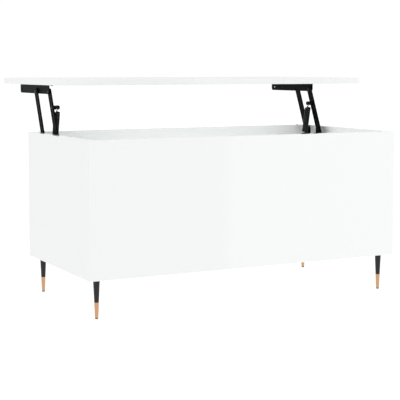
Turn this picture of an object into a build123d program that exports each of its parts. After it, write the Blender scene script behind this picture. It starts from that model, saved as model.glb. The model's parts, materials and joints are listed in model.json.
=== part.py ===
"""Lift top coffee table: a lacquered storage box on four slim legs, with a top on two lift mechanisms.

The table is modelled with its top raised. X runs along the length, +Y is the side that the top
moves out to, and Z is up from the floor. The origin is at the middle of the raised table's
outline, on the floor. Everything is in millimetres.
"""
from build123d import *
import math
import os

# ---------------------------------------------------------------- driving dimensions
# Box
body_length = 884.0
body_depth = 437.0
body_height = 334.5
leg_height = 97.0
long_board = 20.0          # front and rear panels, which cover the end panels' edges
end_board = 18.0
floor_board = 18.0
edge_round = 0.6

# Top
top_length = 900.0
top_depth = 445.0
top_thick = 17.0
top_edge_round = 1.0
closed_gap = 1.5           # held open by the rim bumpers when the top is down

# Legs, one at each corner of the box
leg_inset_x = 28.7
leg_inset_y = 29.1
leg_top_radius = 8.25
leg_band_radius = 5.75
leg_foot_radius = 4.25
ferrule_height = 40.5
ferrule_wall = 0.8
glide_height = 3.0
leg_bolt_radius = 4.0
leg_bolt_in_leg = 20.0
leg_bolt_in_floor = 14.0
insert_radius = 5.5
insert_length = 15.0

# Lift mechanism: the arms of each side are parallel, and turn about fixed lower pivots
arm_length = 127.0
arm_raised_angle = 66.0
arm_closed_angle = 184.2
arm_spacing = 80.0
arm_width = 20.0
heel_length = 24.0         # beyond the main arm's pivot, where it meets the stop pin
heel_width = 15.0
pivot_from_front = 315.0   # lower pivot of the main arm, from the front face of the box
pivot_below_rim = 9.0
spring_stud_reach = 83.0   # from the main arm's lower pivot, along the arm
spring_anchor = (54.0, -17.0)   # lower spring stud, from the main arm's lower pivot
rail_length = 232.0
rail_height = 25.0
rail_lead = 10.0           # from the rail's front end to its first pivot
rail_foot_width = 20.0
rail_relief = (-24.0, 10.0)     # cut out of the foot round the lowered main arm's pivot end
sheet = 2.0                # steel sheet of brackets and rails
fold_round = 1.9           # outside each rail's fold

# Places across one mechanism, from the outer face of the end panel towards the middle
bracket_outer = (18.0, 20.0)
guide_arm_at = (25.5, 29.5)
rail_at = (31.0, 33.0)
main_arm_at = (34.5, 38.5)
bracket_inner = (40.0, 42.0)
spring_at = 51.0
rail_screw_depth = 47.0
stud_end = 56.5

# Base bracket, measured from the two lower pivots
bracket_front = 34.0       # ahead of the main arm's pivot
bracket_back = 99.0        # behind it, on the screwed side
bracket_inner_back = 64.0  # behind it, on the side that carries the arm
bracket_drop = 35.5        # lower edge, below the pivots
bracket_top_drop = 20.0    # upper edge, below the pivots, between the ears
bracket_corner = 6.0
pivot_ear_radius = 7.5
stud_ear_radius = 7.0
stop_ear_radius = 6.0
bracket_screws_at = (-22.0, 32.5, 87.0)    # behind the main arm's pivot
bracket_screws_drop = 27.5
rail_screws_at = (20.0, 95.0, 170.0)       # behind the rail's front end
rail_hole_at = (17.0, 15.0)                # from the rail's rear end, and down from the top

# Pins, spring and fasteners
pin_radius = 3.0
pin_head_radius = 5.0
pin_head_thick = 1.4
pin_play = 0.06
pin_recess = 1.6           # depth of the recess in an arm for a lower pin's flange
flange_inset = 0.2         # from the arm's face to the flange
flange_thick = 1.2
flange_room = 0.3          # round the flange
side_room = 0.1            # between an arm's face and the washer or head beside it
washer_radius = 6.5
stud_radius = 5.5
stud_groove_radius = 3.5
stud_groove_half = 2.8
wire_radius = 1.3
coil_radius = 8.5
hook_centre_radius = 5.2
hook_reach = 13.0          # from the stud's centre to the first turn
screw_radius = 2.0
screw_head_radius = 3.8
screw_head_thick = 1.8
screw_bite = 12.0
cam_radius = 7.5
cam_depth = 12.5
cam_from_edge = 34.0
cams_from_floor_and_rim = (90.0, 60.0)
dowels_from_floor_and_rim = (55.0, 25.0)
cam_bolt_radius = 3.5
cam_thread_radius = 2.5
cam_thread_length = 11.0
dowel_radius = 4.0
dowel_in_long = 12.0       # in the long panel, and deeper in the end panel's edge
dowel_in_end = 18.0
bumper_radius = 4.0

# ---------------------------------------------------------------- places worked out from them
SIDES = {"left": -1, "right": 1}

lift_y = arm_length * (math.cos(math.radians(arm_raised_angle)) - math.cos(math.radians(arm_closed_angle)))
lift_z = arm_length * (math.sin(math.radians(arm_raised_angle)) - math.sin(math.radians(arm_closed_angle)))

half_length = body_length / 2
body_y = -(lift_y + (top_depth - body_depth) / 2) / 2
front_y = body_y - body_depth / 2
rear_y = body_y + body_depth / 2
floor_z = leg_height
rim_z = leg_height + body_height
top_z = rim_z + closed_gap + lift_z        # underside of the raised top
top_y = body_y + lift_y
storage_z = floor_z + floor_board

pivot_y = front_y + pivot_from_front
pivot_z = rim_z - pivot_below_rim
main_pivot = (pivot_y, pivot_z)
guide_pivot = (pivot_y + arm_spacing, pivot_z)


def along_arm(pivot, reach, angle=arm_raised_angle):
    """Point in Y and Z at a distance from a pivot, along an arm at that angle."""
    turn = math.radians(angle)
    return (pivot[0] + reach * math.cos(turn), pivot[1] + reach * math.sin(turn))


main_top_pivot = along_arm(main_pivot, arm_length)
guide_top_pivot = along_arm(guide_pivot, arm_length)
upper_stud = along_arm(main_pivot, spring_stud_reach)
lower_stud = (pivot_y + spring_anchor[0], pivot_z + spring_anchor[1])
rail_front_y = main_top_pivot[0] - rail_lead

# The stop pin touches the heel of the raised main arm
stop_pin_radius = 3.0
stop_reach = 24.0
stop_gap = 0.05
heel = along_arm(main_pivot, -stop_reach)
stop_side = arm_width / 2 + stop_pin_radius + stop_gap
stop_pin = along_arm(heel, stop_side, arm_raised_angle + 90)


# ---------------------------------------------------------------- shapes that repeat
def block(x, y, z):
    """Box from three (low, high) pairs."""
    size = [high - low for low, high in (x, y, z)]
    middle = [(high + low) / 2 for low, high in (x, y, z)]
    return Pos(*middle) * Box(*size)


def rod_x(x, place, radius):
    """Cylinder along X between two x values, at a point in Y and Z."""
    return Pos((x[0] + x[1]) / 2, *place) * Rot(0, 90, 0) * Cylinder(radius, abs(x[1] - x[0]))


def rod_y(y, x, z, radius):
    """Cylinder along Y between two y values."""
    return Pos(x, sum(y) / 2, z) * Rot(90, 0, 0) * Cylinder(radius, abs(y[1] - y[0]))


def rod_z(z, x, y, radius):
    """Cylinder along Z between two z values."""
    return Pos(x, y, (z[0] + z[1]) / 2) * Cylinder(radius, abs(z[1] - z[0]))


def taper_z(z, x, y, low_radius, high_radius):
    """Round taper along Z."""
    return Pos(x, y, (z[0] + z[1]) / 2) * Cone(low_radius, high_radius, z[1] - z[0])


def board(x, y, z, rounding):
    """Panel with slightly rounded edges all round."""
    panel = block(x, y, z)
    return fillet(panel.edges(), rounding)


def x_at(side, depth):
    """The x value at a depth measured in from the outer face of an end panel."""
    return SIDES[side] * (half_length - depth)


def across(side, depths):
    """The two x values, low first, of a span given by two such depths."""
    return tuple(sorted(x_at(side, depth) for depth in depths))


def spring_point(distance):
    """Point in Y and Z on the spring's line, from the upper stud towards the lower one."""
    whole = math.dist(upper_stud, lower_stud)
    part = distance / whole
    return tuple(a + (b - a) * part for a, b in zip(upper_stud, lower_stud))


# ---------------------------------------------------------------- box panels and their fittings
corners = [(x, y) for x in (-1, 1) for y in (-1, 1)]
cam_heights = (floor_z + cams_from_floor_and_rim[0], rim_z - cams_from_floor_and_rim[1])
dowel_heights = (floor_z + dowels_from_floor_and_rim[0], rim_z - dowels_from_floor_and_rim[1])
end_middle = half_length - end_board / 2       # middle of an end panel's thickness
end_inner = half_length - end_board
front_inner = front_y + long_board
rear_inner = rear_y - long_board
floor_cam_x = (-300.0, 0.0, 300.0)
floor_middle = floor_z + floor_board / 2


def side_faces(y_sign):
    """Joint plane of a long panel, and the direction into the end panel or floor."""
    return (front_inner, 1) if y_sign < 0 else (rear_inner, -1)


def corner_fittings():
    """Cam locks, cam bolts and dowels that hold the end panels between the long ones."""
    locks, bolts, dowels = [], [], []
    for x_sign, y_sign in corners:
        plane, inward = side_faces(y_sign)
        x = x_sign * end_middle
        for z in cam_heights:
            lock_y = plane + inward * cam_from_edge
            face = x_sign * end_inner
            lock = rod_x((face, face + x_sign * cam_depth), (lock_y, z), cam_radius)
            shank = rod_y((plane, lock_y), x, z, cam_bolt_radius)
            thread = rod_y((plane - inward * cam_thread_length, plane), x, z, cam_thread_radius)
            locks.append(lock - shank)
            bolts.append(shank + thread)
        for z in dowel_heights:
            ends = (plane - inward * dowel_in_long, plane + inward * dowel_in_end)
            dowels.append(rod_y(ends, x, z, dowel_radius))
    return locks, bolts, dowels


def floor_fittings():
    """Cam locks and bolts in the underside of the floor panel, into the long panels."""
    locks, bolts = [], []
    for y_sign in (-1, 1):
        plane, inward = side_faces(y_sign)
        for x in floor_cam_x:
            lock_y = plane + inward * cam_from_edge
            lock = rod_z((floor_z, floor_z + cam_depth), x, lock_y, cam_radius)
            shank = rod_y((plane, lock_y), x, floor_middle, cam_bolt_radius)
            thread = rod_y((plane - inward * cam_thread_length, plane), x, floor_middle, cam_thread_radius)
            locks.append(lock - shank)
            bolts.append(shank + thread)
    return locks, bolts


def leg_places():
    """Name and centre of each leg."""
    places = {}
    for x_sign, y_sign in corners:
        name = ("front" if y_sign < 0 else "rear") + "_" + ("left" if x_sign < 0 else "right")
        y = (front_y + leg_inset_y) if y_sign < 0 else (rear_y - leg_inset_y)
        places[name] = (x_sign * (half_length - leg_inset_x), y)
    return places


def bracket_screw_places():
    """Y and Z of the screws that hold a base bracket to its end panel."""
    return [(pivot_y + reach, pivot_z - bracket_screws_drop) for reach in bracket_screws_at]


def rail_screw_places():
    """Y of the screws that hold a rail to the top."""
    return [rail_front_y + reach for reach in rail_screws_at]


def box_panels():
    """The five panels of the box, drilled for every fitting."""
    locks, bolts, dowels = corner_fittings()
    floor_locks, floor_bolts = floor_fittings()
    cuts = locks + bolts + dowels + floor_locks + floor_bolts
    height = (floor_z, rim_z)
    length = (-half_length, half_length)
    panels = {
        "front_panel": board(length, (front_y, front_inner), height, edge_round),
        "rear_panel": board(length, (rear_inner, rear_y), height, edge_round),
        "floor_panel": block((-end_inner, end_inner), (front_inner, rear_inner), (floor_z, storage_z)),
    }
    for side, sign in SIDES.items():
        width = tuple(sorted((sign * end_inner, sign * half_length)))
        panels[side + "_end_panel"] = board(width, (front_inner, rear_inner), height, edge_round)
        for place in bracket_screw_places():
            bite = across(side, (bracket_outer[0] - screw_bite, bracket_outer[0]))
            cuts.append(rod_x(bite, place, screw_radius))
    for x, y in leg_places().values():
        cuts.append(rod_z((floor_z, floor_z + insert_length), x, y, insert_radius))
    tool = Compound(cuts)
    return {name: panel - tool for name, panel in panels.items()}


def bumpers():
    """Clear bumpers on the rim, which the closed top rests on."""
    pads = []
    for x_sign in (-1, 1):
        for y in (front_y + long_board / 2, rear_y - long_board / 2):
            pad = rod_z((rim_z, rim_z + closed_gap - 0.1), x_sign * (half_length - 40), y, bumper_radius)
            pads.append(fillet(pad.edges().group_by(Axis.Z)[-1], 0.6))
    return Compound(pads)


# ---------------------------------------------------------------- legs
def leg_pieces(x, y):
    """Black leg with its slim core, and the ferrule that covers the core."""
    core_low = glide_height + ferrule_wall
    upper = taper_z((ferrule_height, leg_height), x, y, leg_band_radius, leg_top_radius)
    core_radii = (leg_foot_radius - ferrule_wall, leg_band_radius - ferrule_wall)
    core = taper_z((core_low, ferrule_height), x, y, *core_radii)
    leg = upper + core - rod_z((leg_height - leg_bolt_in_leg, leg_height), x, y, leg_bolt_radius)
    shell = taper_z((glide_height, ferrule_height), x, y, leg_foot_radius, leg_band_radius)
    ferrule = shell - core
    nail = rod_z((glide_height, core_low + 8), x, y, 1.0)
    pad = rod_z((0, glide_height), x, y, leg_foot_radius - 0.3)
    glide = fillet(pad.edges().group_by(Axis.Z)[0], 0.8) + nail
    return leg - nail, ferrule - nail, glide


def leg_bolt(x, y):
    """Double ended bolt between a leg and its threaded insert."""
    return rod_z((leg_height - leg_bolt_in_leg, leg_height + leg_bolt_in_floor), x, y, leg_bolt_radius)


def leg_insert(x, y):
    """Threaded insert in the floor panel."""
    outer = rod_z((floor_z, floor_z + insert_length), x, y, insert_radius)
    return outer - rod_z((floor_z, floor_z + insert_length), x, y, leg_bolt_radius)


# ---------------------------------------------------------------- top
def top_panel():
    """The lifting top, drilled for the rail screws."""
    panel = board((-top_length / 2, top_length / 2), (top_y - top_depth / 2, top_y + top_depth / 2),
                  (top_z, top_z + top_thick), top_edge_round)
    for side in SIDES:
        for y in rail_screw_places():
            panel -= rod_z((top_z, top_z + screw_bite), x_at(side, rail_screw_depth), y, screw_radius)
    return panel


# ---------------------------------------------------------------- lift mechanism
def ear(x, place, radius, low_z):
    """Round-topped ear of sheet, from a plate's lower edge up round a pin or stud."""
    return block(x, (place[0] - radius, place[0] + radius), (low_z, place[1])) + rod_x(x, place, radius)


def base_bracket(side):
    """Pressed steel channel: its outer side is screwed on, and ears carry the pins and a stud."""
    low_z, high_z = pivot_z - bracket_drop, pivot_z - bracket_top_drop
    front, back = pivot_y - bracket_front, pivot_y + bracket_back
    inner_back = pivot_y + bracket_inner_back
    outer_x, inner_x = across(side, bracket_outer), across(side, bracket_inner)
    outer = block(outer_x, (front, back), (low_z, high_z))
    outer = fillet(outer.edges().filter_by(Axis.X), bracket_corner)
    outer += ear(outer_x, guide_pivot, pivot_ear_radius, low_z)
    inner = block(inner_x, (front, inner_back), (low_z, high_z))
    inner = fillet(inner.edges().filter_by(Axis.X).group_by(Axis.Z)[-1], bracket_corner)
    inner += ear(inner_x, main_pivot, pivot_ear_radius, low_z)
    inner += ear(inner_x, lower_stud, stud_ear_radius, low_z)
    inner += ear(inner_x, stop_pin, stop_ear_radius, low_z)
    width = across(side, (bracket_outer[0], bracket_inner[1]))
    web = block(width, (front + bracket_corner, inner_back), (low_z, low_z + sheet))
    bracket = outer + inner + web
    bracket -= rod_x(inner_x, main_pivot, pin_radius)
    bracket -= rod_x(outer_x, guide_pivot, pin_radius)
    bracket -= rod_x(inner_x, lower_stud, stud_groove_radius)
    bracket -= rod_x(inner_x, stop_pin, stop_pin_radius)
    for place in bracket_screw_places():
        bracket -= rod_x(across(side, bracket_outer), place, screw_radius)
    return bracket


def flat_bar(x, middle, length, width):
    """Bar between two x values, centred at a point in Y and Z, at the raised arms' angle."""
    return Pos(sum(x) / 2, *middle) * Rot(arm_raised_angle, 0, 0) * Box(x[1] - x[0], length, width)


def arm(x, pivot):
    """Flat arm with rounded ends, before it is bored."""
    top_end = along_arm(pivot, arm_length)
    bar = flat_bar(x, along_arm(pivot, arm_length / 2), arm_length, arm_width)
    return bar + rod_x(x, pivot, arm_width / 2) + rod_x(x, top_end, arm_width / 2)


def bored(shape, x, pivot, sunk):
    """The arm with running bores for its two pins, and a recess for the lower pin's flange."""
    for place in (pivot, along_arm(pivot, arm_length)):
        shape -= rod_x(x, place, pin_radius + pin_play)
    return shape - rod_x(sunk, pivot, pin_head_radius)


def main_arm(side):
    """The arm that carries the spring; its heel, narrower on the far side, meets the stop pin."""
    x = across(side, main_arm_at)
    shift = (arm_width - heel_width) / 2
    heel_middle = along_arm(along_arm(main_pivot, -heel_length / 2), shift, arm_raised_angle + 90)
    heel_end = along_arm(along_arm(main_pivot, -heel_length), shift, arm_raised_angle + 90)
    shape = arm(x, main_pivot) + flat_bar(x, heel_middle, heel_length, heel_width)
    shape += rod_x(x, heel_end, heel_width / 2)
    shape -= rod_x(x, upper_stud, stud_groove_radius)
    return bored(shape, x, main_pivot, across(side, (main_arm_at[0], main_arm_at[0] + pin_recess)))


def guide_arm(side):
    """The second arm, which keeps the top level."""
    x = across(side, guide_arm_at)
    sunk = across(side, (guide_arm_at[1] - pin_recess, guide_arm_at[1]))
    return bored(arm(x, guide_pivot), x, guide_pivot, sunk)


def top_rail(side):
    """Steel angle under the top: the upright side carries the arms, the flat side is screwed on."""
    y = (rail_front_y, rail_front_y + rail_length)
    upright = block(across(side, rail_at), y, (top_z - rail_height, top_z))
    upright = fillet(upright.edges().filter_by(Axis.X).group_by(Axis.Z)[0], 8)
    flat = block(across(side, (rail_at[0], rail_at[1] + rail_foot_width)), y, (top_z - sheet, top_z))
    rail = upright + flat
    outside = x_at(side, rail_at[0])
    fold = rail.edges().filter_by(Axis.Y).filter_by_position(Axis.X, outside - 0.1, outside + 0.1)
    rail = fillet(fold.filter_by_position(Axis.Z, top_z - 0.1, top_z + 0.1), fold_round)
    for place in (main_top_pivot, guide_top_pivot):
        rail -= rod_x(across(side, rail_at), place, pin_radius)
    rail -= rod_x(across(side, rail_at), (y[1] - rail_hole_at[0], top_z - rail_hole_at[1]), pin_radius)
    lowered_pivot_y = main_top_pivot[0] - arm_length * math.cos(math.radians(arm_closed_angle))
    relief = (lowered_pivot_y + rail_relief[0], lowered_pivot_y + rail_relief[1])
    foot = across(side, (rail_at[1], rail_at[1] + rail_foot_width))
    rail -= block(foot, relief, (top_z - sheet, top_z))
    for screw_y in rail_screw_places():
        rail -= rod_z((top_z - sheet, top_z), x_at(side, rail_screw_depth), screw_y, screw_radius)
    return rail


def lower_pins(side):
    """Pins fixed in the bracket, each with a flange sunk in its arm."""
    flange_radius = pin_head_radius - flange_room
    near = main_arm_at[0] + flange_inset
    main = rod_x(across(side, (near, bracket_inner[1])), main_pivot, pin_radius)
    main += rod_x(across(side, (near, near + flange_thick)), main_pivot, flange_radius)
    far = guide_arm_at[1] - flange_inset
    guide = rod_x(across(side, (bracket_outer[0] + flange_inset, far)), guide_pivot, pin_radius)
    guide += rod_x(across(side, (far - flange_thick, far)), guide_pivot, flange_radius)
    return Compound([main, guide])


def upper_pins(side):
    """Rivets fixed in the rail, with heads that keep the arms on."""
    main_head = (main_arm_at[1] + side_room, main_arm_at[1] + side_room + pin_head_thick)
    guide_head = (guide_arm_at[0] - side_room - pin_head_thick, guide_arm_at[0] - side_room)
    main = rod_x(across(side, (rail_at[0], main_head[1])), main_top_pivot, pin_radius)
    main += rod_x(across(side, main_head), main_top_pivot, pin_head_radius)
    guide = rod_x(across(side, (guide_head[0], rail_at[1])), guide_top_pivot, pin_radius)
    guide += rod_x(across(side, guide_head), guide_top_pivot, pin_head_radius)
    return Compound([main, guide])


def washer(side, depths, place):
    """Ring on a pin."""
    x = across(side, depths)
    return rod_x(x, place, washer_radius) - rod_x(x, place, pin_radius)


def lower_spacers(side):
    """Spacer sleeve between bracket and guide arm, and the washer beside the main arm."""
    sleeve = washer(side, (bracket_outer[1], guide_arm_at[0] - side_room), guide_pivot)
    ring = washer(side, (main_arm_at[1] + side_room, bracket_inner[0]), main_pivot)
    return Compound([sleeve, ring])


def upper_washers(side):
    """Washers between the rail and its two arms."""
    main = washer(side, (rail_at[1], main_arm_at[0] - side_room), main_top_pivot)
    guide = washer(side, (guide_arm_at[1] + side_room, rail_at[0]), guide_top_pivot)
    return Compound([main, guide])


def spring_stud(side, fixed_in, place):
    """Grooved stud that a spring hook sits on, riveted into an arm or bracket."""
    root = rod_x(across(side, fixed_in), place, stud_groove_radius)
    shoulder = rod_x(across(side, (fixed_in[1], spring_at - stud_groove_half)), place, stud_radius)
    neck = rod_x(across(side, (spring_at - stud_groove_half, spring_at + stud_groove_half)), place,
                 stud_groove_radius)
    head = rod_x(across(side, (spring_at + stud_groove_half, stud_end)), place, stud_radius)
    return root + shoulder + neck + head


def hook(side, place, towards):
    """Wire ring on a stud, its shank, and the first flat turn of the coil."""
    angle = math.degrees(math.atan2(towards[1] - place[1], towards[0] - place[0]))
    ring = Rot(0, 90, 0) * Torus(hook_centre_radius, wire_radius)
    shank = rod_y((hook_centre_radius, hook_reach), 0, 0, wire_radius)
    turn = rod_y((hook_reach, hook_reach + 2 * wire_radius), 0, 0, coil_radius)
    return Pos(x_at(side, spring_at), *place) * Rot(angle, 0, 0) * (ring + shank + turn)


def spring_coil(side):
    """Body of the tension spring as a plain sleeve, with its lower hook."""
    whole = math.dist(upper_stud, lower_stud)
    end = hook_reach + 2 * wire_radius
    middle = spring_point(whole / 2)
    angle = math.degrees(math.atan2(lower_stud[1] - upper_stud[1], lower_stud[0] - upper_stud[0]))
    length = whole - 2 * end
    sleeve = Cylinder(coil_radius, length) - Cylinder(coil_radius - 2 * wire_radius, length)
    coil = Pos(x_at(side, spring_at), *middle) * Rot(angle, 0, 0) * Rot(90, 0, 0) * sleeve
    return coil + hook(side, lower_stud, upper_stud)


def screw(turn):
    """Pan head screw along +Z, head below, threaded part above, placed by the given location."""
    head = rod_z((-screw_head_thick, 0), 0, 0, screw_head_radius)
    head = fillet(head.edges().group_by(Axis.Z)[0], 1.0)
    shank = rod_z((0, sheet + screw_bite), 0, 0, screw_radius)
    return turn * (head + shank)


def bracket_screws(side):
    """Screws through the base bracket into the end panel."""
    x = x_at(side, bracket_outer[1])
    turn = Rot(0, 90 * SIDES[side], 0)
    return Compound([screw(Pos(x, *place) * turn) for place in bracket_screw_places()])


def rail_screws(side):
    """Screws up through the rail into the top."""
    x = x_at(side, rail_screw_depth)
    return Compound([screw(Pos(x, y, top_z - sheet)) for y in rail_screw_places()])


def mechanism(side):
    """Every piece of one lift mechanism, by node name."""
    stop_x = across(side, (main_arm_at[0], bracket_inner[1]))
    pieces = {
        "base_bracket": base_bracket(side),
        "main_arm": main_arm(side),
        "guide_arm": guide_arm(side),
        "top_rail": top_rail(side),
        "lower_pins": lower_pins(side),
        "upper_pins": upper_pins(side),
        "lower_spacers": lower_spacers(side),
        "upper_washers": upper_washers(side),
        "stop_pin": rod_x(stop_x, stop_pin, stop_pin_radius),
        "upper_spring_stud": spring_stud(side, main_arm_at, upper_stud),
        "lower_spring_stud": spring_stud(side, bracket_inner, lower_stud),
        "spring_upper_hook": hook(side, upper_stud, lower_stud),
        "spring_coil": spring_coil(side),
        "bracket_screws": bracket_screws(side),
        "rail_screws": rail_screws(side),
    }
    return {side + "_" + name: piece for name, piece in pieces.items()}


# ---------------------------------------------------------------- the whole table
def table():
    """Every node of the table."""
    nodes = box_panels()
    locks, bolts, dowels = corner_fittings()
    floor_locks, floor_bolts = floor_fittings()
    nodes["corner_cam_locks"] = Compound(locks)
    nodes["corner_cam_bolts"] = Compound(bolts)
    nodes["corner_dowels"] = Compound(dowels)
    nodes["floor_cam_locks"] = Compound(floor_locks)
    nodes["floor_cam_bolts"] = Compound(floor_bolts)
    nodes["rim_bumpers"] = bumpers()
    nodes["top_panel"] = top_panel()
    glides = []
    for name, (x, y) in leg_places().items():
        leg, ferrule, glide = leg_pieces(x, y)
        nodes[name + "_leg"] = leg
        nodes[name + "_ferrule"] = ferrule
        glides.append(glide)
    nodes["leg_glides"] = Compound(glides)
    nodes["leg_bolts"] = Compound([leg_bolt(x, y) for x, y in leg_places().values()])
    nodes["leg_inserts"] = Compound([leg_insert(x, y) for x, y in leg_places().values()])
    for side in SIDES:
        nodes.update(mechanism(side))
    return nodes


os.makedirs("parts", exist_ok=True)
for node_name, node_shape in table().items():
    export_step(node_shape, "parts/" + node_name + ".step")
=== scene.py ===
"""Looks of a lift top coffee table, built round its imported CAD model.

The table is a white lacquered storage box on four slim tapered legs. Its top is carried by two lift
mechanisms of parallel arms and coil springs, and is raised here. Lengths are in metres, and X runs
along the table, +Y is the side that the top moves out to, and Z is up.
"""
import json
import math

import bmesh
import bpy
from mathutils import Matrix, Vector


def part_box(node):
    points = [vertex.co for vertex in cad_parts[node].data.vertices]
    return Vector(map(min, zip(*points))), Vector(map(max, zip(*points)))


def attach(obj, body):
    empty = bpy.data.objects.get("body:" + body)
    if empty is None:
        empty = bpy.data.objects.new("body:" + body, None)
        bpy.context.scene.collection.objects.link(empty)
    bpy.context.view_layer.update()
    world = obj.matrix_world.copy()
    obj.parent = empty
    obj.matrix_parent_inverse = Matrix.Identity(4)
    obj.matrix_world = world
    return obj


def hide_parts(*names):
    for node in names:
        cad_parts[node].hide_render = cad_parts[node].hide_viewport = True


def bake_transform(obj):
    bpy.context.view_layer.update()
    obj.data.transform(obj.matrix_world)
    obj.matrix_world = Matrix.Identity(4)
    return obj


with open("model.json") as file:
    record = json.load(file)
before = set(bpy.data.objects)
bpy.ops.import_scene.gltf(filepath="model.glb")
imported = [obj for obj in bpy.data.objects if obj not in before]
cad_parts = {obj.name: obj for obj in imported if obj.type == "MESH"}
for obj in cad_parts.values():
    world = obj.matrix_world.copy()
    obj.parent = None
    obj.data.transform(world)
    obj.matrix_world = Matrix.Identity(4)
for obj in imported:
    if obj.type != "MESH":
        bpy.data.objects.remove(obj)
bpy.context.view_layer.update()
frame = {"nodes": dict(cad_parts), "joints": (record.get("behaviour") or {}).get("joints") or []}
MM = 0.001

# ---------------------------------------------------------------- studio
# A white sweep lit evenly from all round, as for a catalogue cut-out: the world and the floor are
# nearly as bright as the paper white, and a tall strip light stands at the right of the table, where
# the gloss lacquer mirrors its straight left edge.
FLOOR_SIZE = 30.0
FLOOR_GREY, FLOOR_GLOW = "#8F8F8F", 0.88
WHITE = (1.0, 1.0, 1.0, 1.0)
WORLD_LIGHT, PAPER_WHITE = 0.905, 1.05     # what lights the table, and what the camera sees
STRIP_SIZE = (1.0, 1.0)
STRIP_LEFT_EDGE = Vector((0.836, -1.962, 0.15))
STRIP_POWER = 1.85
TOP_SOFTBOX_SIZE = (2.6, 2.6)
TOP_SOFTBOX_PLACE, TOP_SOFTBOX_TARGET = (-0.4, -0.6, 3.2), (0, 0, 0.4)
TOP_SOFTBOX_POWER = 12.0
WELL_FILL_SIZE = (0.7, 0.3)
WELL_FILL_PLACE, WELL_FILL_TARGET = (0, -0.09, 0.2), (0, -0.09, 1.0)
WELL_FILL_POWER = 0.78
CAMERA_PLACE = (-1.4344, -2.7970, 0.6021)
CAMERA_DOWN, CAMERA_TURN = 0.07363, -0.47713    # radians, from level and from looking along +Y
CAMERA_LENS = 102.564
CAMERA_SHIFT = -0.12


def linear(colour):
    """Linear RGBA of an sRGB hex colour."""
    parts = [int(colour[i:i + 2], 16) / 255 for i in (1, 3, 5)]
    return [p / 12.92 if p <= 0.04045 else ((p + 0.055) / 1.055) ** 2.4 for p in parts] + [1.0]


def add_node(tree, kind, inputs=None, **settings):
    """Adds a node. Inputs go by socket name: values to set, or other nodes' outputs to link."""
    node = tree.nodes.new(kind)
    for name, value in settings.items():
        setattr(node, name, value)
    for name, value in (inputs or {}).items():
        if isinstance(value, bpy.types.NodeSocket):
            tree.links.new(value, node.inputs[name])
        else:
            node.inputs[name].default_value = value
    return node


def new_finish(name):
    """New material with an empty node tree, and that tree."""
    material = bpy.data.materials.new(name)
    material.use_nodes = True
    material.node_tree.nodes.clear()
    return material, material.node_tree


def softbox(name, size, power, place, target):
    """Area light of a (width, height), turned to face a point."""
    light = bpy.data.lights.new(name, "AREA")
    light.shape = "RECTANGLE"
    light.size, light.size_y = size
    light.energy = power
    lamp = bpy.data.objects.new(name, light)
    lamp.location = place
    lamp.rotation_euler = (Vector(target) - Vector(place)).to_track_quat("-Z", "Y").to_euler()
    bpy.context.collection.objects.link(lamp)
    return lamp


scene = bpy.context.scene
scene.view_settings.view_transform = "Standard"

world = bpy.data.worlds.new("white_room")
scene.world = world
world.use_nodes = True
tree = world.node_tree
tree.nodes.clear()
# The camera sees the far room as paper white, while the table is lit by the room's own level.
walls = add_node(tree, "ShaderNodeBackground", {"Color": WHITE, "Strength": WORLD_LIGHT})
paper = add_node(tree, "ShaderNodeBackground", {"Color": WHITE, "Strength": PAPER_WHITE})
ray = add_node(tree, "ShaderNodeLightPath")
room = add_node(tree, "ShaderNodeMixShader", {"Fac": ray.outputs["Is Camera Ray"]})
tree.links.new(walls.outputs["Background"], room.inputs[1])
tree.links.new(paper.outputs["Background"], room.inputs[2])
add_node(tree, "ShaderNodeOutputWorld", {"Surface": room.outputs["Shader"]})

sweep, tree = new_finish("white_paper_sweep")
matte = add_node(tree, "ShaderNodeBsdfDiffuse", {"Color": linear(FLOOR_GREY)})
glow = add_node(tree, "ShaderNodeEmission", {"Color": WHITE, "Strength": FLOOR_GLOW})
both = add_node(tree, "ShaderNodeAddShader")
tree.links.new(matte.outputs["BSDF"], both.inputs[0])
tree.links.new(glow.outputs["Emission"], both.inputs[1])
add_node(tree, "ShaderNodeOutputMaterial", {"Surface": both.outputs["Shader"]})

floor_shape = bmesh.new()
bmesh.ops.create_grid(floor_shape, x_segments=1, y_segments=1, size=FLOOR_SIZE / 2)
floor_mesh = bpy.data.meshes.new("floor")
floor_shape.to_mesh(floor_mesh)
floor_shape.free()
floor = bpy.data.objects.new("floor", floor_mesh)
floor_mesh.materials.append(sweep)
bpy.context.collection.objects.link(floor)
# Mirror images in the lacquer look past the floor, into the even white of the room.
floor.visible_glossy = False

strip_middle = STRIP_LEFT_EDGE + Vector((STRIP_SIZE[0] / 2, 0, 0))
softbox("strip_light", STRIP_SIZE, STRIP_POWER, strip_middle, strip_middle + Vector((0, 1, 0)))
softbox("top_softbox", TOP_SOFTBOX_SIZE, TOP_SOFTBOX_POWER, TOP_SOFTBOX_PLACE, TOP_SOFTBOX_TARGET)
# A hidden fill low in the storage well stands in for the light that bounces about in it.
well_fill = softbox("well_fill", WELL_FILL_SIZE, WELL_FILL_POWER, WELL_FILL_PLACE, WELL_FILL_TARGET)
well_fill.visible_camera = False
well_fill.visible_glossy = False

camera_data = bpy.data.cameras.new("camera")
camera_data.sensor_width = 36.0
camera_data.lens = CAMERA_LENS
camera_data.shift_y = CAMERA_SHIFT
camera = bpy.data.objects.new("camera", camera_data)
camera.location = CAMERA_PLACE
camera.rotation_euler = (math.pi / 2 - CAMERA_DOWN, 0, CAMERA_TURN)
bpy.context.collection.objects.link(camera)
scene.camera = camera

# ---------------------------------------------------------------- box panels
# Five fibreboard panels, sprayed with high-gloss white lacquer and polished. The long front and rear
# panels cover the edges of the end panels, and the floor panel sits between all four.
ORANGE_PEEL = 3.5 * MM     # width of the lacquer's faint ripples
ORANGE_PEEL_HEIGHT = 0.004 * MM

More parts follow.
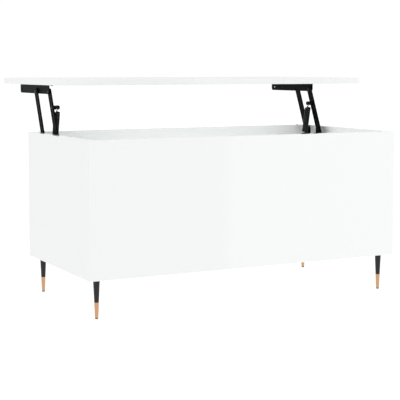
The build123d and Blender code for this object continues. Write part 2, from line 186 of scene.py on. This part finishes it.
# Gloss lacquer: white all through, with a smooth mirror surface that bends long reflections slightly.
lacquer, tree = new_finish("high_gloss_white_lacquer")
place = add_node(tree, "ShaderNodeTexCoord").outputs["Object"]
ripple = add_node(tree, "ShaderNodeTexNoise", {
    "Vector": place, "Scale": 1 / ORANGE_PEEL, "Detail": 1.0})
peel = add_node(tree, "ShaderNodeBump", {
    "Height": ripple.outputs["Fac"], "Distance": ORANGE_PEEL_HEIGHT})
shader = add_node(tree, "ShaderNodeBsdfPrincipled", {
    "Base Color": linear("#EFF1F0"), "Roughness": 0.06, "IOR": 1.5,
    "Normal": peel.outputs["Normal"]})
add_node(tree, "ShaderNodeOutputMaterial", {"Surface": shader.outputs["BSDF"]})


def dress(material, *nodes):
    """Gives CAD nodes a finish."""
    for name in nodes:
        mesh = frame["nodes"][name].data
        mesh.materials.clear()
        mesh.materials.append(material)


dress(lacquer, "floor_panel", "front_panel", "rear_panel", "left_end_panel", "right_end_panel")

# ---------------------------------------------------------------- knock-down fittings
# Zinc die-cast cam locks in the end panels and the floor panel pull on steel cam bolts, and fluted
# beech dowels line the corners up. Only the cam locks' faces, with their cross recess, are seen.
CAM_RADIUS = 7.5 * MM
CAM_DEPTH = 12.5 * MM
CAM_GROOVE = 0.4 * MM      # width and depth of the ring groove in its face
CAM_RIM = 1.2 * MM
CAM_CROSS_REACH, CAM_CROSS_HALF, CAM_CROSS_DEPTH = 4.2 * MM, 0.9 * MM, 3.0 * MM
CROSS_LIP = 0.05 * MM      # between the flat face and the sinking cross
SAME_POINT = 0.001 * MM    # points nearer than this are one
SHARP_ANGLE = math.radians(35)
ZINC_CLOUD = 2.5 * MM      # width of the flow marks
BEECH_GRAIN = 0.8 * MM     # width of the grain, which is drawn out along the dowel
BEECH_GRAIN_STRETCH = 0.08

# Zinc: a soft grey metal with the cloudy flow marks of die casting.
zinc, tree = new_finish("zinc_die_casting")
place = add_node(tree, "ShaderNodeTexCoord").outputs["Object"]
cloud = add_node(tree, "ShaderNodeTexNoise", {"Vector": place, "Scale": 1 / ZINC_CLOUD, "Detail": 3.0})
shade = add_node(tree, "ShaderNodeValToRGB", {"Fac": cloud.outputs["Fac"]})
shade.color_ramp.elements[0].color = linear("#9A9A9A")
shade.color_ramp.elements[1].color = linear("#BFC0C1")
dull = add_node(tree, "ShaderNodeMapRange", {
    "Value": cloud.outputs["Fac"], "To Min": 0.3, "To Max": 0.45})
shader = add_node(tree, "ShaderNodeBsdfPrincipled", {
    "Base Color": shade.outputs["Color"], "Metallic": 1.0, "Roughness": dull.outputs["Result"]})
add_node(tree, "ShaderNodeOutputMaterial", {"Surface": shader.outputs["BSDF"]})

# Beech: pale pinkish wood with short fine grain along the dowel, which lies along Y.
beech, tree = new_finish("beech_dowel")
place = add_node(tree, "ShaderNodeTexCoord").outputs["Object"]
along = add_node(tree, "ShaderNodeMapping", {"Vector": place, "Scale": (1.0, BEECH_GRAIN_STRETCH, 1.0)})
grain = add_node(tree, "ShaderNodeTexNoise", {
    "Vector": along.outputs["Vector"], "Scale": 1 / BEECH_GRAIN})
wood = add_node(tree, "ShaderNodeValToRGB", {"Fac": grain.outputs["Fac"]})
wood.color_ramp.elements[0].color = linear("#B98F62")
wood.color_ramp.elements[1].color = linear("#DDB98C")
shader = add_node(tree, "ShaderNodeBsdfPrincipled", {
    "Base Color": wood.outputs["Color"], "Roughness": 0.6, "IOR": 1.5})
add_node(tree, "ShaderNodeOutputMaterial", {"Surface": shader.outputs["BSDF"]})


def lathe(profile, steps=48, ring=False):
    """Solid turned round Z from (radius, height) points, which end on the axis or close as a ring."""
    shape = bmesh.new()
    points = [shape.verts.new((radius, 0, height)) for radius, height in profile]
    edges = [shape.edges.new(pair) for pair in zip(points, points[1:])]
    if ring:
        edges.append(shape.edges.new((points[-1], points[0])))
    bmesh.ops.spin(shape, geom=points + edges, cent=(0, 0, 0), axis=(0, 0, 1), angle=2 * math.pi,
                   steps=steps, use_merge=True)
    bmesh.ops.remove_doubles(shape, verts=shape.verts, dist=SAME_POINT)
    bmesh.ops.recalc_face_normals(shape, faces=shape.faces)
    return shape


def sink_cross(shape, reach, half_width, depth):
    """Sinks a driver's cross into the flat face at the top of a turned solid.

    The face's edge points go out to the cross's arms, or in to the corners between them.
    """
    middle = max((v for v in shape.verts if v.co.xy.length < SAME_POINT), key=lambda v: v.co.z)
    face = bmesh.ops.dissolve_faces(shape, faces=middle.link_faces[:])["region"][0]
    bmesh.ops.inset_region(shape, faces=[face], thickness=CROSS_LIP)
    for v in face.verts:
        x, y = abs(v.co.x), abs(v.co.y)
        between_arms = min(x, y) > 1.3 * half_width
        if between_arms:
            x = y = half_width
        elif x > y:
            x = reach
        else:
            y = reach
        v.co.x, v.co.y = math.copysign(x, v.co.x), math.copysign(y, v.co.y)
    bottom = bmesh.ops.extrude_discrete_faces(shape, faces=[face])["faces"][0]
    bmesh.ops.translate(shape, verts=bottom.verts, vec=(0, 0, -depth))
    bmesh.ops.remove_doubles(shape, verts=shape.verts, dist=SAME_POINT)


def join(whole, shape):
    """Adds a shape to another mesh, and frees the shape."""
    added = bpy.data.meshes.new("added")
    shape.to_mesh(added)
    shape.free()
    whole.from_mesh(added)
    bpy.data.meshes.remove(added)


def repeat(shape, places):
    """One mesh with a copy of a shape at each place, given as matrices. Frees the shape."""
    whole = bmesh.new()
    for place in places:
        placed = shape.copy()
        placed.transform(place)
        join(whole, placed)
    shape.free()
    bmesh.ops.recalc_face_normals(whole, faces=whole.faces)
    return whole


def stand(point, way):
    """Matrix that puts a turned solid's origin at a point, and its Z along a direction."""
    return Matrix.Translation(point) @ Vector(way).to_track_quat("Z", "Y").to_matrix().to_4x4()


def new_piece(name, shape, material, body=None):
    """Object made from a mesh, smooth but for its sharp edges, that rides on a body. Frees the mesh."""
    mesh = bpy.data.meshes.new(name)
    shape.to_mesh(mesh)
    shape.free()
    mesh.materials.append(material)
    mesh.shade_smooth()
    mesh.set_sharp_from_angle(angle=SHARP_ANGLE)
    piece = bpy.data.objects.new(name, mesh)
    bpy.context.collection.objects.link(piece)
    if body:
        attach(piece, body)
    return piece


def corners_of(node):
    """Lowest and highest corner of a CAD node, as vectors."""
    low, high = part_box(node)
    return Vector(low), Vector(high)


def cam_lock():
    """Cam lock along Z, with its face at the height zero."""
    groove_out = CAM_RADIUS - CAM_RIM
    groove_in = groove_out - CAM_GROOVE
    shape = lathe([(0, -CAM_DEPTH), (CAM_RADIUS, -CAM_DEPTH), (CAM_RADIUS, 0), (groove_out, 0),
                   (groove_out, -CAM_GROOVE), (groove_in, -CAM_GROOVE), (groove_in, 0), (0, 0)])
    sink_cross(shape, CAM_CROSS_REACH, CAM_CROSS_HALF, CAM_CROSS_DEPTH)
    return shape


low, high = corners_of("corner_cam_locks")
places = [stand((x, y, z), way)
          for x, way in ((low.x + CAM_DEPTH, (1, 0, 0)), (high.x - CAM_DEPTH, (-1, 0, 0)))
          for y in (low.y + CAM_RADIUS, high.y - CAM_RADIUS)
          for z in (low.z + CAM_RADIUS, high.z - CAM_RADIUS)]
corner_cams = new_piece("corner_cam_lock_castings", repeat(cam_lock(), places), zinc,
                        "box")
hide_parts("corner_cam_locks")

low, high = corners_of("floor_cam_locks")
places = [stand((x, y, low.z), (0, 0, -1))
          for x in (low.x + CAM_RADIUS, (low.x + high.x) / 2, high.x - CAM_RADIUS)
          for y in (low.y + CAM_RADIUS, high.y - CAM_RADIUS)]
floor_cams = new_piece("floor_cam_lock_castings", repeat(cam_lock(), places), zinc,
                       "box")
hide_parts("floor_cam_locks")

dress(zinc, "corner_cam_bolts", "floor_cam_bolts")
dress(beech, "corner_dowels")

# ---------------------------------------------------------------- legs
# Four turned legs, painted satin black, with a copper-coloured ferrule pressed over each slim foot
# and a grey nylon glide under it. A double-ended bolt joins each leg to an insert in the floor panel.
LEG_BAND_RADIUS = 5.75 * MM    # at the top of the ferrule
LEG_FOOT_RADIUS = 4.25 * MM
FERRULE_WALL = 0.8 * MM
CORE_BAND_RADIUS = LEG_BAND_RADIUS - FERRULE_WALL    # of the wood inside the ferrule
CORE_FOOT_RADIUS = LEG_FOOT_RADIUS - FERRULE_WALL
LEG_EDGE = 0.5 * MM
FERRULE_EDGE = 0.25 * MM
GLIDE_RADIUS = 3.95 * MM
GLIDE_ROUND = 0.8 * MM
GLIDE_NAIL_RADIUS = 1.0 * MM
PAINT_RIPPLE, PAINT_RIPPLE_HEIGHT = 2.0 * MM, 0.01 * MM
TURNED_RING = 1.4 * MM         # the real rings are about 0.2 mm apart, too fine to show
TURNED_RING_HEIGHT = 0.015 * MM
NYLON_SCUFF = 1.0 * MM

# Satin black paint: deep black with a soft, broad sheen and a trace of spray ripple.
black_paint, tree = new_finish("satin_black_paint")
place = add_node(tree, "ShaderNodeTexCoord").outputs["Object"]
ripple = add_node(tree, "ShaderNodeTexNoise", {
    "Vector": place, "Scale": 1 / PAINT_RIPPLE, "Detail": 2.0})
spray = add_node(tree, "ShaderNodeBump", {
    "Height": ripple.outputs["Fac"], "Distance": PAINT_RIPPLE_HEIGHT})
shader = add_node(tree, "ShaderNodeBsdfPrincipled", {
    "Base Color": linear("#151515"), "Roughness": 0.38, "IOR": 1.5, "Specular IOR Level": 0.42,
    "Normal": spray.outputs["Normal"]})
add_node(tree, "ShaderNodeOutputMaterial", {"Surface": shader.outputs["BSDF"]})

# Copper-coloured ferrule: turned metal tube, so fine rings round it stretch each highlight along it.
copper, tree = new_finish("satin_copper_ferrule")
place = add_node(tree, "ShaderNodeTexCoord").outputs["Object"]
rings = add_node(tree, "ShaderNodeTexWave", {
    "Vector": place, "Scale": math.pi / (10 * TURNED_RING), "Distortion": 0.4, "Detail": 1.0},
    bands_direction="Z")
cut = add_node(tree, "ShaderNodeBump", {
    "Height": rings.outputs["Fac"], "Distance": TURNED_RING_HEIGHT})
shader = add_node(tree, "ShaderNodeBsdfPrincipled", {
    "Base Color": linear("#DBAC84"), "Metallic": 1.0, "Roughness": 0.3,
    "Normal": cut.outputs["Normal"]})
add_node(tree, "ShaderNodeOutputMaterial", {"Surface": shader.outputs["BSDF"]})

# Grey nylon: moulded, matt, with a slight scuff where it stands on the floor.
grey_nylon, tree = new_finish("moulded_grey_nylon")
place = add_node(tree, "ShaderNodeTexCoord").outputs["Object"]
scuff = add_node(tree, "ShaderNodeTexNoise", {
    "Vector": place, "Scale": 1 / NYLON_SCUFF, "Detail": 2.0})
worn = add_node(tree, "ShaderNodeMapRange", {
    "Value": scuff.outputs["Fac"], "To Min": 0.45, "To Max": 0.7})
shader = add_node(tree, "ShaderNodeBsdfPrincipled", {
    "Base Color": linear("#5E5D5A"), "Roughness": worn.outputs["Result"], "IOR": 1.53})
add_node(tree, "ShaderNodeOutputMaterial", {"Surface": shader.outputs["BSDF"]})

glide_places = []
for corner in ("front_left", "front_right", "rear_left", "rear_right"):
    low, high = corners_of(corner + "_leg")
    leg_x, leg_y = (low.x + high.x) / 2, (low.y + high.y) / 2
    top_radius = (high.x - low.x) / 2
    ferrule_low, ferrule_high = corners_of(corner + "_ferrule")
    leg_place = Matrix.Translation((leg_x, leg_y, 0))
    glide_places.append(leg_place)
    leg = lathe([(0, low.z), (CORE_FOOT_RADIUS, low.z), (CORE_BAND_RADIUS, ferrule_high.z),
                 (LEG_BAND_RADIUS - LEG_EDGE / 2, ferrule_high.z),
                 (LEG_BAND_RADIUS, ferrule_high.z + LEG_EDGE),
                 (top_radius, high.z - LEG_EDGE), (top_radius - LEG_EDGE, high.z), (0, high.z)])
    leg.transform(leg_place)
    leg_piece = new_piece(corner + "_leg_turned", leg, black_paint, "box")
    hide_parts(corner + "_leg")

    ferrule = lathe([(GLIDE_NAIL_RADIUS, ferrule_low.z),
                     (LEG_FOOT_RADIUS - FERRULE_EDGE, ferrule_low.z),
                     (LEG_FOOT_RADIUS, ferrule_low.z + FERRULE_EDGE),
                     (LEG_BAND_RADIUS, ferrule_high.z - FERRULE_EDGE),
                     (LEG_BAND_RADIUS - FERRULE_EDGE, ferrule_high.z),
                     (CORE_BAND_RADIUS, ferrule_high.z),
                     (CORE_FOOT_RADIUS, low.z), (GLIDE_NAIL_RADIUS, low.z)], ring=True)
    ferrule.transform(leg_place)
    ferrule_piece = new_piece(corner + "_ferrule_turned", ferrule, copper, "box")
    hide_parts(corner + "_ferrule")

glide = lathe([(0, 0), (GLIDE_RADIUS - GLIDE_ROUND, 0),
               (GLIDE_RADIUS - 0.3 * GLIDE_ROUND, 0.3 * GLIDE_ROUND),
               (GLIDE_RADIUS, GLIDE_ROUND), (GLIDE_RADIUS, ferrule_low.z), (0, ferrule_low.z)])
glides = new_piece("leg_glides_moulded", repeat(glide, glide_places), grey_nylon,
                   "box")
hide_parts("leg_glides")
dress(zinc, "leg_bolts", "leg_inserts")

# ---------------------------------------------------------------- rim bumpers
# Four small clear bumpers, stuck on the rim of the box, which the closed top rests on.
# They are cast polyurethane: soft domes, clear enough to take the colour of the lacquer under them.
clear_rubber, tree = new_finish("clear_polyurethane")
shader = add_node(tree, "ShaderNodeBsdfPrincipled", {
    "Base Color": linear("#EDEFEE"), "Roughness": 0.12, "IOR": 1.49, "Transmission Weight": 0.1})
add_node(tree, "ShaderNodeOutputMaterial", {"Surface": shader.outputs["BSDF"]})
dress(clear_rubber, "rim_bumpers")

# ---------------------------------------------------------------- base brackets
# A pressed steel channel on each end panel, powder coated black, holds the arms' lower pivots.
# Three black pan-head screws hold it to the panel.
SIDES = {"left": -1, "right": 1}    # and the sign of X there
POWDER_GRAIN = 1.6 * MM        # real texture is about 0.4 mm, too fine to show
POWDER_GRAIN_HEIGHT = 0.05 * MM
PLATING_BLOOM = 2.0 * MM
SCREW_CORE_RADIUS, SCREW_LENGTH = 1.9 * MM, 14.0 * MM
SCREW_TIP_RADIUS, SCREW_TIP, SCREW_TAPER = 0.8 * MM, 1.0 * MM, 4.0 * MM
SCREW_HEAD_RADIUS, SCREW_HEAD_THICK = 3.8 * MM, 1.8 * MM
SCREW_CROSS_REACH, SCREW_CROSS_HALF, SCREW_CROSS_DEPTH = 2.1 * MM, 0.5 * MM, 1.2 * MM

# Black powder coat: a slightly pebbled, matt skin that hides the steel's tool marks.
powder_coat, tree = new_finish("black_powder_coat")
place = add_node(tree, "ShaderNodeTexCoord").outputs["Object"]
pebble = add_node(tree, "ShaderNodeTexNoise", {
    "Vector": place, "Scale": 1 / POWDER_GRAIN, "Detail": 3.0})
skin = add_node(tree, "ShaderNodeBump", {
    "Height": pebble.outputs["Fac"], "Distance": POWDER_GRAIN_HEIGHT})
shader = add_node(tree, "ShaderNodeBsdfPrincipled", {
    "Base Color": linear("#0C0E0E"), "Roughness": 0.5, "IOR": 1.5, "Specular IOR Level": 0.04,
    "Normal": skin.outputs["Normal"]})
add_node(tree, "ShaderNodeOutputMaterial", {"Surface": shader.outputs["BSDF"]})

# Black zinc plating: thin and dark, with the steel's shine just showing through.
black_zinc, tree = new_finish("black_zinc_plated_steel")
place = add_node(tree, "ShaderNodeTexCoord").outputs["Object"]
bloom = add_node(tree, "ShaderNodeTexNoise", {
    "Vector": place, "Scale": 1 / PLATING_BLOOM, "Detail": 2.0})
tint = add_node(tree, "ShaderNodeValToRGB", {"Fac": bloom.outputs["Fac"]})
tint.color_ramp.elements[0].color = linear("#131314")
tint.color_ramp.elements[1].color = linear("#232325")
shader = add_node(tree, "ShaderNodeBsdfPrincipled", {
    "Base Color": tint.outputs["Color"], "Metallic": 1.0, "Roughness": 0.32})
add_node(tree, "ShaderNodeOutputMaterial", {"Surface": shader.outputs["BSDF"]})


def screw():
    """Pan-head screw along Z, with the underside of its head at the height zero."""
    shape = lathe([(0, -SCREW_LENGTH), (SCREW_TIP_RADIUS, -SCREW_LENGTH + SCREW_TIP),
                   (SCREW_CORE_RADIUS, -SCREW_LENGTH + SCREW_TAPER), (SCREW_CORE_RADIUS, 0),
                   (SCREW_HEAD_RADIUS, 0), (SCREW_HEAD_RADIUS, 0.45 * SCREW_HEAD_THICK),
                   (0.93 * SCREW_HEAD_RADIUS, 0.75 * SCREW_HEAD_THICK),
                   (0.78 * SCREW_HEAD_RADIUS, SCREW_HEAD_THICK), (0, SCREW_HEAD_THICK)])
    sink_cross(shape, SCREW_CROSS_REACH, SCREW_CROSS_HALF, SCREW_CROSS_DEPTH)
    return shape


def row_of_three(low, high):
    """Y of each screw in a row of three, from the row's lowest and highest corner."""
    return low.y + SCREW_HEAD_RADIUS, (low.y + high.y) / 2, high.y - SCREW_HEAD_RADIUS


for side, sign in SIDES.items():
    dress(powder_coat, side + "_base_bracket")
    low, high = corners_of(side + "_bracket_screws")
    seat_x = (high.x if side == "left" else low.x) + sign * SCREW_HEAD_THICK
    places = [stand((seat_x, y, (low.z + high.z) / 2), (-sign, 0, 0))
              for y in row_of_three(low, high)]
    screws = new_piece(side + "_bracket_screws_driven", repeat(screw(), places), black_zinc,
                       "box")
    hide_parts(side + "_bracket_screws")

# ---------------------------------------------------------------- lower pivots
# Black-plated steel pins, riveted into the bracket. The main arm's pin shows a domed head on the
# bracket's inner side, nylon sleeves and washers space the arms, and a third pin stops the arm.
LOWER_HEAD_RADIUS, LOWER_HEAD_HEIGHT = 4.6 * MM, 1.3 * MM
LOWER_SHANK_RADIUS, LOWER_SHANK_LENGTH = 2.3 * MM, 1.0 * MM

# Black nylon: smooth moulded plastic, a little glossier than the powder coat beside it.
black_nylon, tree = new_finish("moulded_black_nylon")
shader = add_node(tree, "ShaderNodeBsdfPrincipled", {
    "Base Color": linear("#121213"), "Roughness": 0.42, "IOR": 1.53, "Specular IOR Level": 0.25})
add_node(tree, "ShaderNodeOutputMaterial", {"Surface": shader.outputs["BSDF"]})

joint_at = {joint["name"]: Vector(joint["pos_m"]) for joint in frame["joints"] if "pos_m" in joint}
main_pivot = joint_at["lift"].yz
top_pivot = joint_at["top_level"].yz
guide_pivot = joint_at["left_guide_arm_turn"].yz
arm_way = (top_pivot - main_pivot).normalized()
arm_length = (top_pivot - main_pivot).length


def domed_head(radius, height, shank_radius, shank_length):
    """Rivet along Z, with the flat side of its dome at the height zero."""
    return lathe([(0, -shank_length), (shank_radius, -shank_length), (shank_radius, 0), (radius, 0),
                  (0.98 * radius, 0.3 * height), (0.86 * radius, 0.66 * height),
                  (0.6 * radius, 0.9 * height), (0.3 * radius, 0.98 * height), (0, height)])


for side, sign in SIDES.items():
    dress(black_zinc, side + "_lower_pins", side + "_stop_pin")
    dress(black_nylon, side + "_lower_spacers")
    low, high = corners_of(side + "_lower_pins")
    bracket_face = high.x if side == "left" else low.x
    head = domed_head(LOWER_HEAD_RADIUS, LOWER_HEAD_HEIGHT, LOWER_SHANK_RADIUS, LOWER_SHANK_LENGTH)
    head.transform(stand((bracket_face, *main_pivot), (-sign, 0, 0)))
    new_piece(side + "_lower_pin_head", head, black_zinc, "box")

# ---------------------------------------------------------------- arms
# Flat steel arms with round ends, black powder coated. A shallow pressed channel runs down both faces
# of each, and the main arm's heel, below its pivot, meets the stop pin when the top is up.
ARM_WIDTH = 20.0 * MM
ARM_EDGE = 0.5 * MM
ARM_EDGE_ANGLE = math.radians(50)    # edges sharper than this are rounded
CHANNEL_RIM = 5.6 * MM         # from the arm's edge to the channel
CHANNEL_END = 12.0 * MM        # from the middle of an arm's round end to the channel
CHANNEL_SLOPE, CHANNEL_DEPTH = 0.7 * MM, 0.6 * MM
HEEL_LENGTH, HEEL_WIDTH = 24.0 * MM, 15.0 * MM
HEEL_INSET = 0.05 * MM         # keeps the heel's faces just inside the arm's


def round_ended_bar(length, width, thick):
    """Flat bar along X with round ends, whose middles are at zero and at its length."""
    shape = bmesh.new()
    bmesh.ops.create_circle(shape, cap_ends=True, segments=48, radius=width / 2)
    bmesh.ops.rotate(shape, verts=shape.verts, matrix=Matrix.Rotation(math.pi / 48, 3, "Z"))
    bmesh.ops.translate(shape, verts=[v for v in shape.verts if v.co.x > 0], vec=(length, 0, 0))
    sheet = bmesh.ops.extrude_face_region(shape, geom=shape.faces[:], use_keep_orig=True)["geom"]
    raised = [part for part in sheet if isinstance(part, bmesh.types.BMVert)]
    bmesh.ops.translate(shape, verts=raised, vec=(0, 0, thick))
    bmesh.ops.recalc_face_normals(shape, faces=shape.faces)
    return shape


def pressed_arm(thick):
    """Arm along X between its pivots, with a long shallow channel pressed into both flat faces."""
    shape = round_ended_bar(arm_length, ARM_WIDTH, thick)
    for face in sorted(shape.faces, key=lambda f: f.calc_area())[-2:]:
        bmesh.ops.inset_region(shape, faces=[face], thickness=CHANNEL_RIM, use_even_offset=True)
        for v in face.verts:
            v.co.x += CHANNEL_END if v.co.x < arm_length / 2 else -CHANNEL_END
        bmesh.ops.inset_region(shape, faces=[face], thickness=CHANNEL_SLOPE, depth=-CHANNEL_DEPTH,
                               use_even_offset=True)
    return shape


def round_edges(piece):
    """Small round on an arm's sharp edges."""
    edges = piece.modifiers.new("round_edges", "BEVEL")
    edges.width, edges.segments = ARM_EDGE, 2
    edges.limit_method, edges.angle_limit = "ANGLE", ARM_EDGE_ANGLE


def lay_arm(x_low, pivot):
    """Matrix that lays a flat bar along the raised arms' line from a pivot, facing along X."""
    return Matrix(((0, 0, 1, x_low), (arm_way.x, -arm_way.y, 0, pivot.x),
                   (arm_way.y, arm_way.x, 0, pivot.y), (0, 0, 0, 1)))


for side in SIDES:
    low, high = corners_of(side + "_guide_arm")
    arm = pressed_arm(high.x - low.x)
    arm.transform(lay_arm(low.x, guide_pivot))
    guide_arm = new_piece(side + "_guide_arm_pressed", arm, powder_coat,
                          side + "_guide_arm_body")
    round_edges(guide_arm)
    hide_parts(side + "_guide_arm")

    low, high = corners_of(side + "_main_arm")
    arm = pressed_arm(high.x - low.x)
    heel = round_ended_bar(HEEL_LENGTH, HEEL_WIDTH, high.x - low.x - 2 * HEEL_INSET)
    heel.transform(Matrix.Translation((-HEEL_LENGTH, (ARM_WIDTH - HEEL_WIDTH) / 2, HEEL_INSET)))
    join(arm, heel)
    arm.transform(lay_arm(low.x, main_pivot))
    main_arm = new_piece(side + "_main_arm_pressed", arm, powder_coat,
                         side + "_main_arm_body")
    round_edges(main_arm)
    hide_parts(side + "_main_arm")

# ---------------------------------------------------------------- spring studs
# Turned steel studs, riveted into each main arm and base bracket, with a groove near the free end that
# a spring hook drops into. Black zinc plated.
STUD_RADIUS, STUD_GROOVE_RADIUS = 5.5 * MM, 3.5 * MM
STUD_HEAD = 2.7 * MM
STUD_GROOVE_WIDTH = 5.6 * MM
STUD_EDGE = 0.5 * MM
ARM_THICKNESS, BRACKET_SHEET = 4.0 * MM, 2.0 * MM    # the thin root of a stud goes through these

for side, sign in SIDES.items():
    for node, body, root in ((side + "_upper_spring_stud", side + "_main_arm_body", ARM_THICKNESS),
                             (side + "_lower_spring_stud", "box", BRACKET_SHEET)):
        low, high = corners_of(node)
        length = high.x - low.x
        head = length - STUD_HEAD
        groove = head - STUD_GROOVE_WIDTH
        stud = lathe([(0, 0), (STUD_GROOVE_RADIUS, 0), (STUD_GROOVE_RADIUS, root), (STUD_RADIUS, root),
                      (STUD_RADIUS, groove - STUD_EDGE), (STUD_RADIUS - STUD_EDGE, groove),
                      (STUD_GROOVE_RADIUS, groove), (STUD_GROOVE_RADIUS, head),
                      (STUD_RADIUS - STUD_EDGE, head), (STUD_RADIUS, head + STUD_EDGE),
                      (STUD_RADIUS, length - STUD_EDGE),
                      (STUD_RADIUS - STUD_EDGE, length), (0, length)])
        outer_x = low.x if side == "left" else high.x
        stud.transform(stand((outer_x, (low.y + high.y) / 2, (low.z + high.z) / 2), (-sign, 0, 0)))
        piece = new_piece(node + "_turned", stud, black_zinc, body)
        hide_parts(node)

# ---------------------------------------------------------------- springs
# A close-wound tension spring of black steel wire on each side, with a round hook at each end on the
# studs. It pulls the main arm up, and stretches as the top goes down.
WIRE_RADIUS = 1.3 * MM
COIL_MIDDLE_RADIUS = 7.5 * MM
HOOK_RADIUS = 5.2 * MM         # to the middle of the wire
UPPER_REACH, LOWER_REACH = 13.0 * MM, 8.0 * MM    # from a stud's middle to the coil
COIL_TURNS = 28.5
POINTS_PER_TURN = 16
HOOK_OPENS_AT, HOOK_ENDS_AT, HOOK_STEP = 70, 350, 20    # degrees from the spring's line
DRAWN_LINE = 1.2 * MM
ACROSS_TABLE = Vector((1, 0, 0))

# Spring wire: drawn steel blackened in hot oil, with a dull sheen and faint drawing lines.
black_wire, tree = new_finish("oil_blackened_spring_wire")
place = add_node(tree, "ShaderNodeTexCoord").outputs["Object"]
drawn = add_node(tree, "ShaderNodeTexNoise", {
    "Vector": place, "Scale": 1 / DRAWN_LINE, "Detail": 2.0})
oiled = add_node(tree, "ShaderNodeMapRange", {
    "Value": drawn.outputs["Fac"], "To Min": 0.35, "To Max": 0.55})
shader = add_node(tree, "ShaderNodeBsdfPrincipled", {
    "Base Color": linear("#111111"), "Roughness": oiled.outputs["Result"], "IOR": 1.5,
    "Specular IOR Level": 0.35})
add_node(tree, "ShaderNodeOutputMaterial", {"Surface": shader.outputs["BSDF"]})


def hook_path(hook_at, way, across, reach):
    """Points round a stud from the hook's open tip, and along the spring to its first turn."""
    points = []
    for degrees in range(HOOK_OPENS_AT, HOOK_ENDS_AT + 1, HOOK_STEP):
        turn = math.radians(degrees)
        points.append(hook_at + HOOK_RADIUS * (math.cos(turn) * way + math.sin(turn) * across))
    points.append(hook_at + 0.6 * reach * way)
    points.append(hook_at + 0.85 * reach * way + 0.3 * COIL_MIDDLE_RADIUS * across)
    return points


for side in SIDES:
    upper = joint_at[side + "_spring_turn"]
    low, high = corners_of(side + "_lower_spring_stud")
    lower = Vector((upper.x, (low.y + high.y) / 2, (low.z + high.z) / 2))
    way = (lower - upper).normalized()
    across = ACROSS_TABLE.cross(way)
    coil_length = (lower - upper).length - UPPER_REACH - LOWER_REACH
    path = hook_path(upper, way, across, UPPER_REACH)
    for step in range(int(COIL_TURNS * POINTS_PER_TURN) + 1):
        turn = 2 * math.pi * step / POINTS_PER_TURN
        along = UPPER_REACH + coil_length * step / (COIL_TURNS * POINTS_PER_TURN)
        out = math.cos(turn) * across + math.sin(turn) * ACROSS_TABLE
        path.append(upper + along * way + COIL_MIDDLE_RADIUS * out)
    path += reversed(hook_path(lower, -way, -across, LOWER_REACH))

    wire = bpy.data.curves.new(side + "_spring_path", "CURVE")
    wire.dimensions = "3D"
    wire.bevel_depth, wire.bevel_resolution, wire.use_fill_caps = WIRE_RADIUS, 2, True
    wire.resolution_u = 2
    line = wire.splines.new("NURBS")
    line.points.add(len(path) - 1)
    for point, spot in zip(line.points, path):
        point.co = (*spot, 1.0)
    line.order_u, line.use_endpoint_u = 4, True
    wire_object = bpy.data.objects.new(side + "_spring_path", wire)
    mesh = bpy.data.meshes.new_from_object(wire_object)
    shape = bmesh.new()
    shape.from_mesh(mesh)
    bmesh.ops.recalc_face_normals(shape, faces=shape.faces)
    bpy.data.objects.remove(wire_object)
    bpy.data.meshes.remove(mesh)
    bpy.data.curves.remove(wire)
    spring = new_piece(side + "_spring_wound", shape, black_wire)
    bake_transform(spring)
    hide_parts(side + "_spring_coil", side + "_spring_upper_hook")

# ---------------------------------------------------------------- top rails
# A steel angle under each end of the top, powder coated black. Domed rivets join both arms to its
# upright side, with nylon washers between, and three screws hold its flat side to the top.
RIVET_HEAD_RADIUS, RIVET_HEAD_HEIGHT = 5.0 * MM, 1.4 * MM
PIN_RADIUS = 3.0 * MM

for side, sign in SIDES.items():
    dress(powder_coat, side + "_top_rail")
    dress(black_nylon, side + "_upper_washers")
    low, high = corners_of(side + "_upper_pins")
    rail_low, rail_high = corners_of(side + "_top_rail")
    inner_x, outer_x = (high.x, low.x) if side == "left" else (low.x, high.x)
    rail_x = rail_low.x if side == "left" else rail_high.x
    guide_top = guide_pivot + arm_way * arm_length
    rivets = bmesh.new()
    for head_x, pivot, facing in ((inner_x, top_pivot, -sign), (outer_x, guide_top, sign)):
        seat_x = head_x - facing * RIVET_HEAD_HEIGHT
        rivet = domed_head(RIVET_HEAD_RADIUS, RIVET_HEAD_HEIGHT, PIN_RADIUS, abs(seat_x - rail_x))
        rivet.transform(stand((seat_x, *pivot), (facing, 0, 0)))
        join(rivets, rivet)
    rivet_piece = new_piece(side + "_rail_rivets", rivets, black_zinc, "top")
    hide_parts(side + "_upper_pins")

    low, high = corners_of(side + "_rail_screws")
    places = [stand(((low.x + high.x) / 2, y, low.z + SCREW_HEAD_THICK), (0, 0, -1))
              for y in row_of_three(low, high)]
    screws = new_piece(side + "_rail_screws_driven", repeat(screw(), places), black_zinc,
                       "top")
    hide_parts(side + "_rail_screws")

# ---------------------------------------------------------------- top
# The lifting top: one fibreboard panel with the box's lacquer all round, screwed to the two rails.
dress(lacquer, "top_panel")
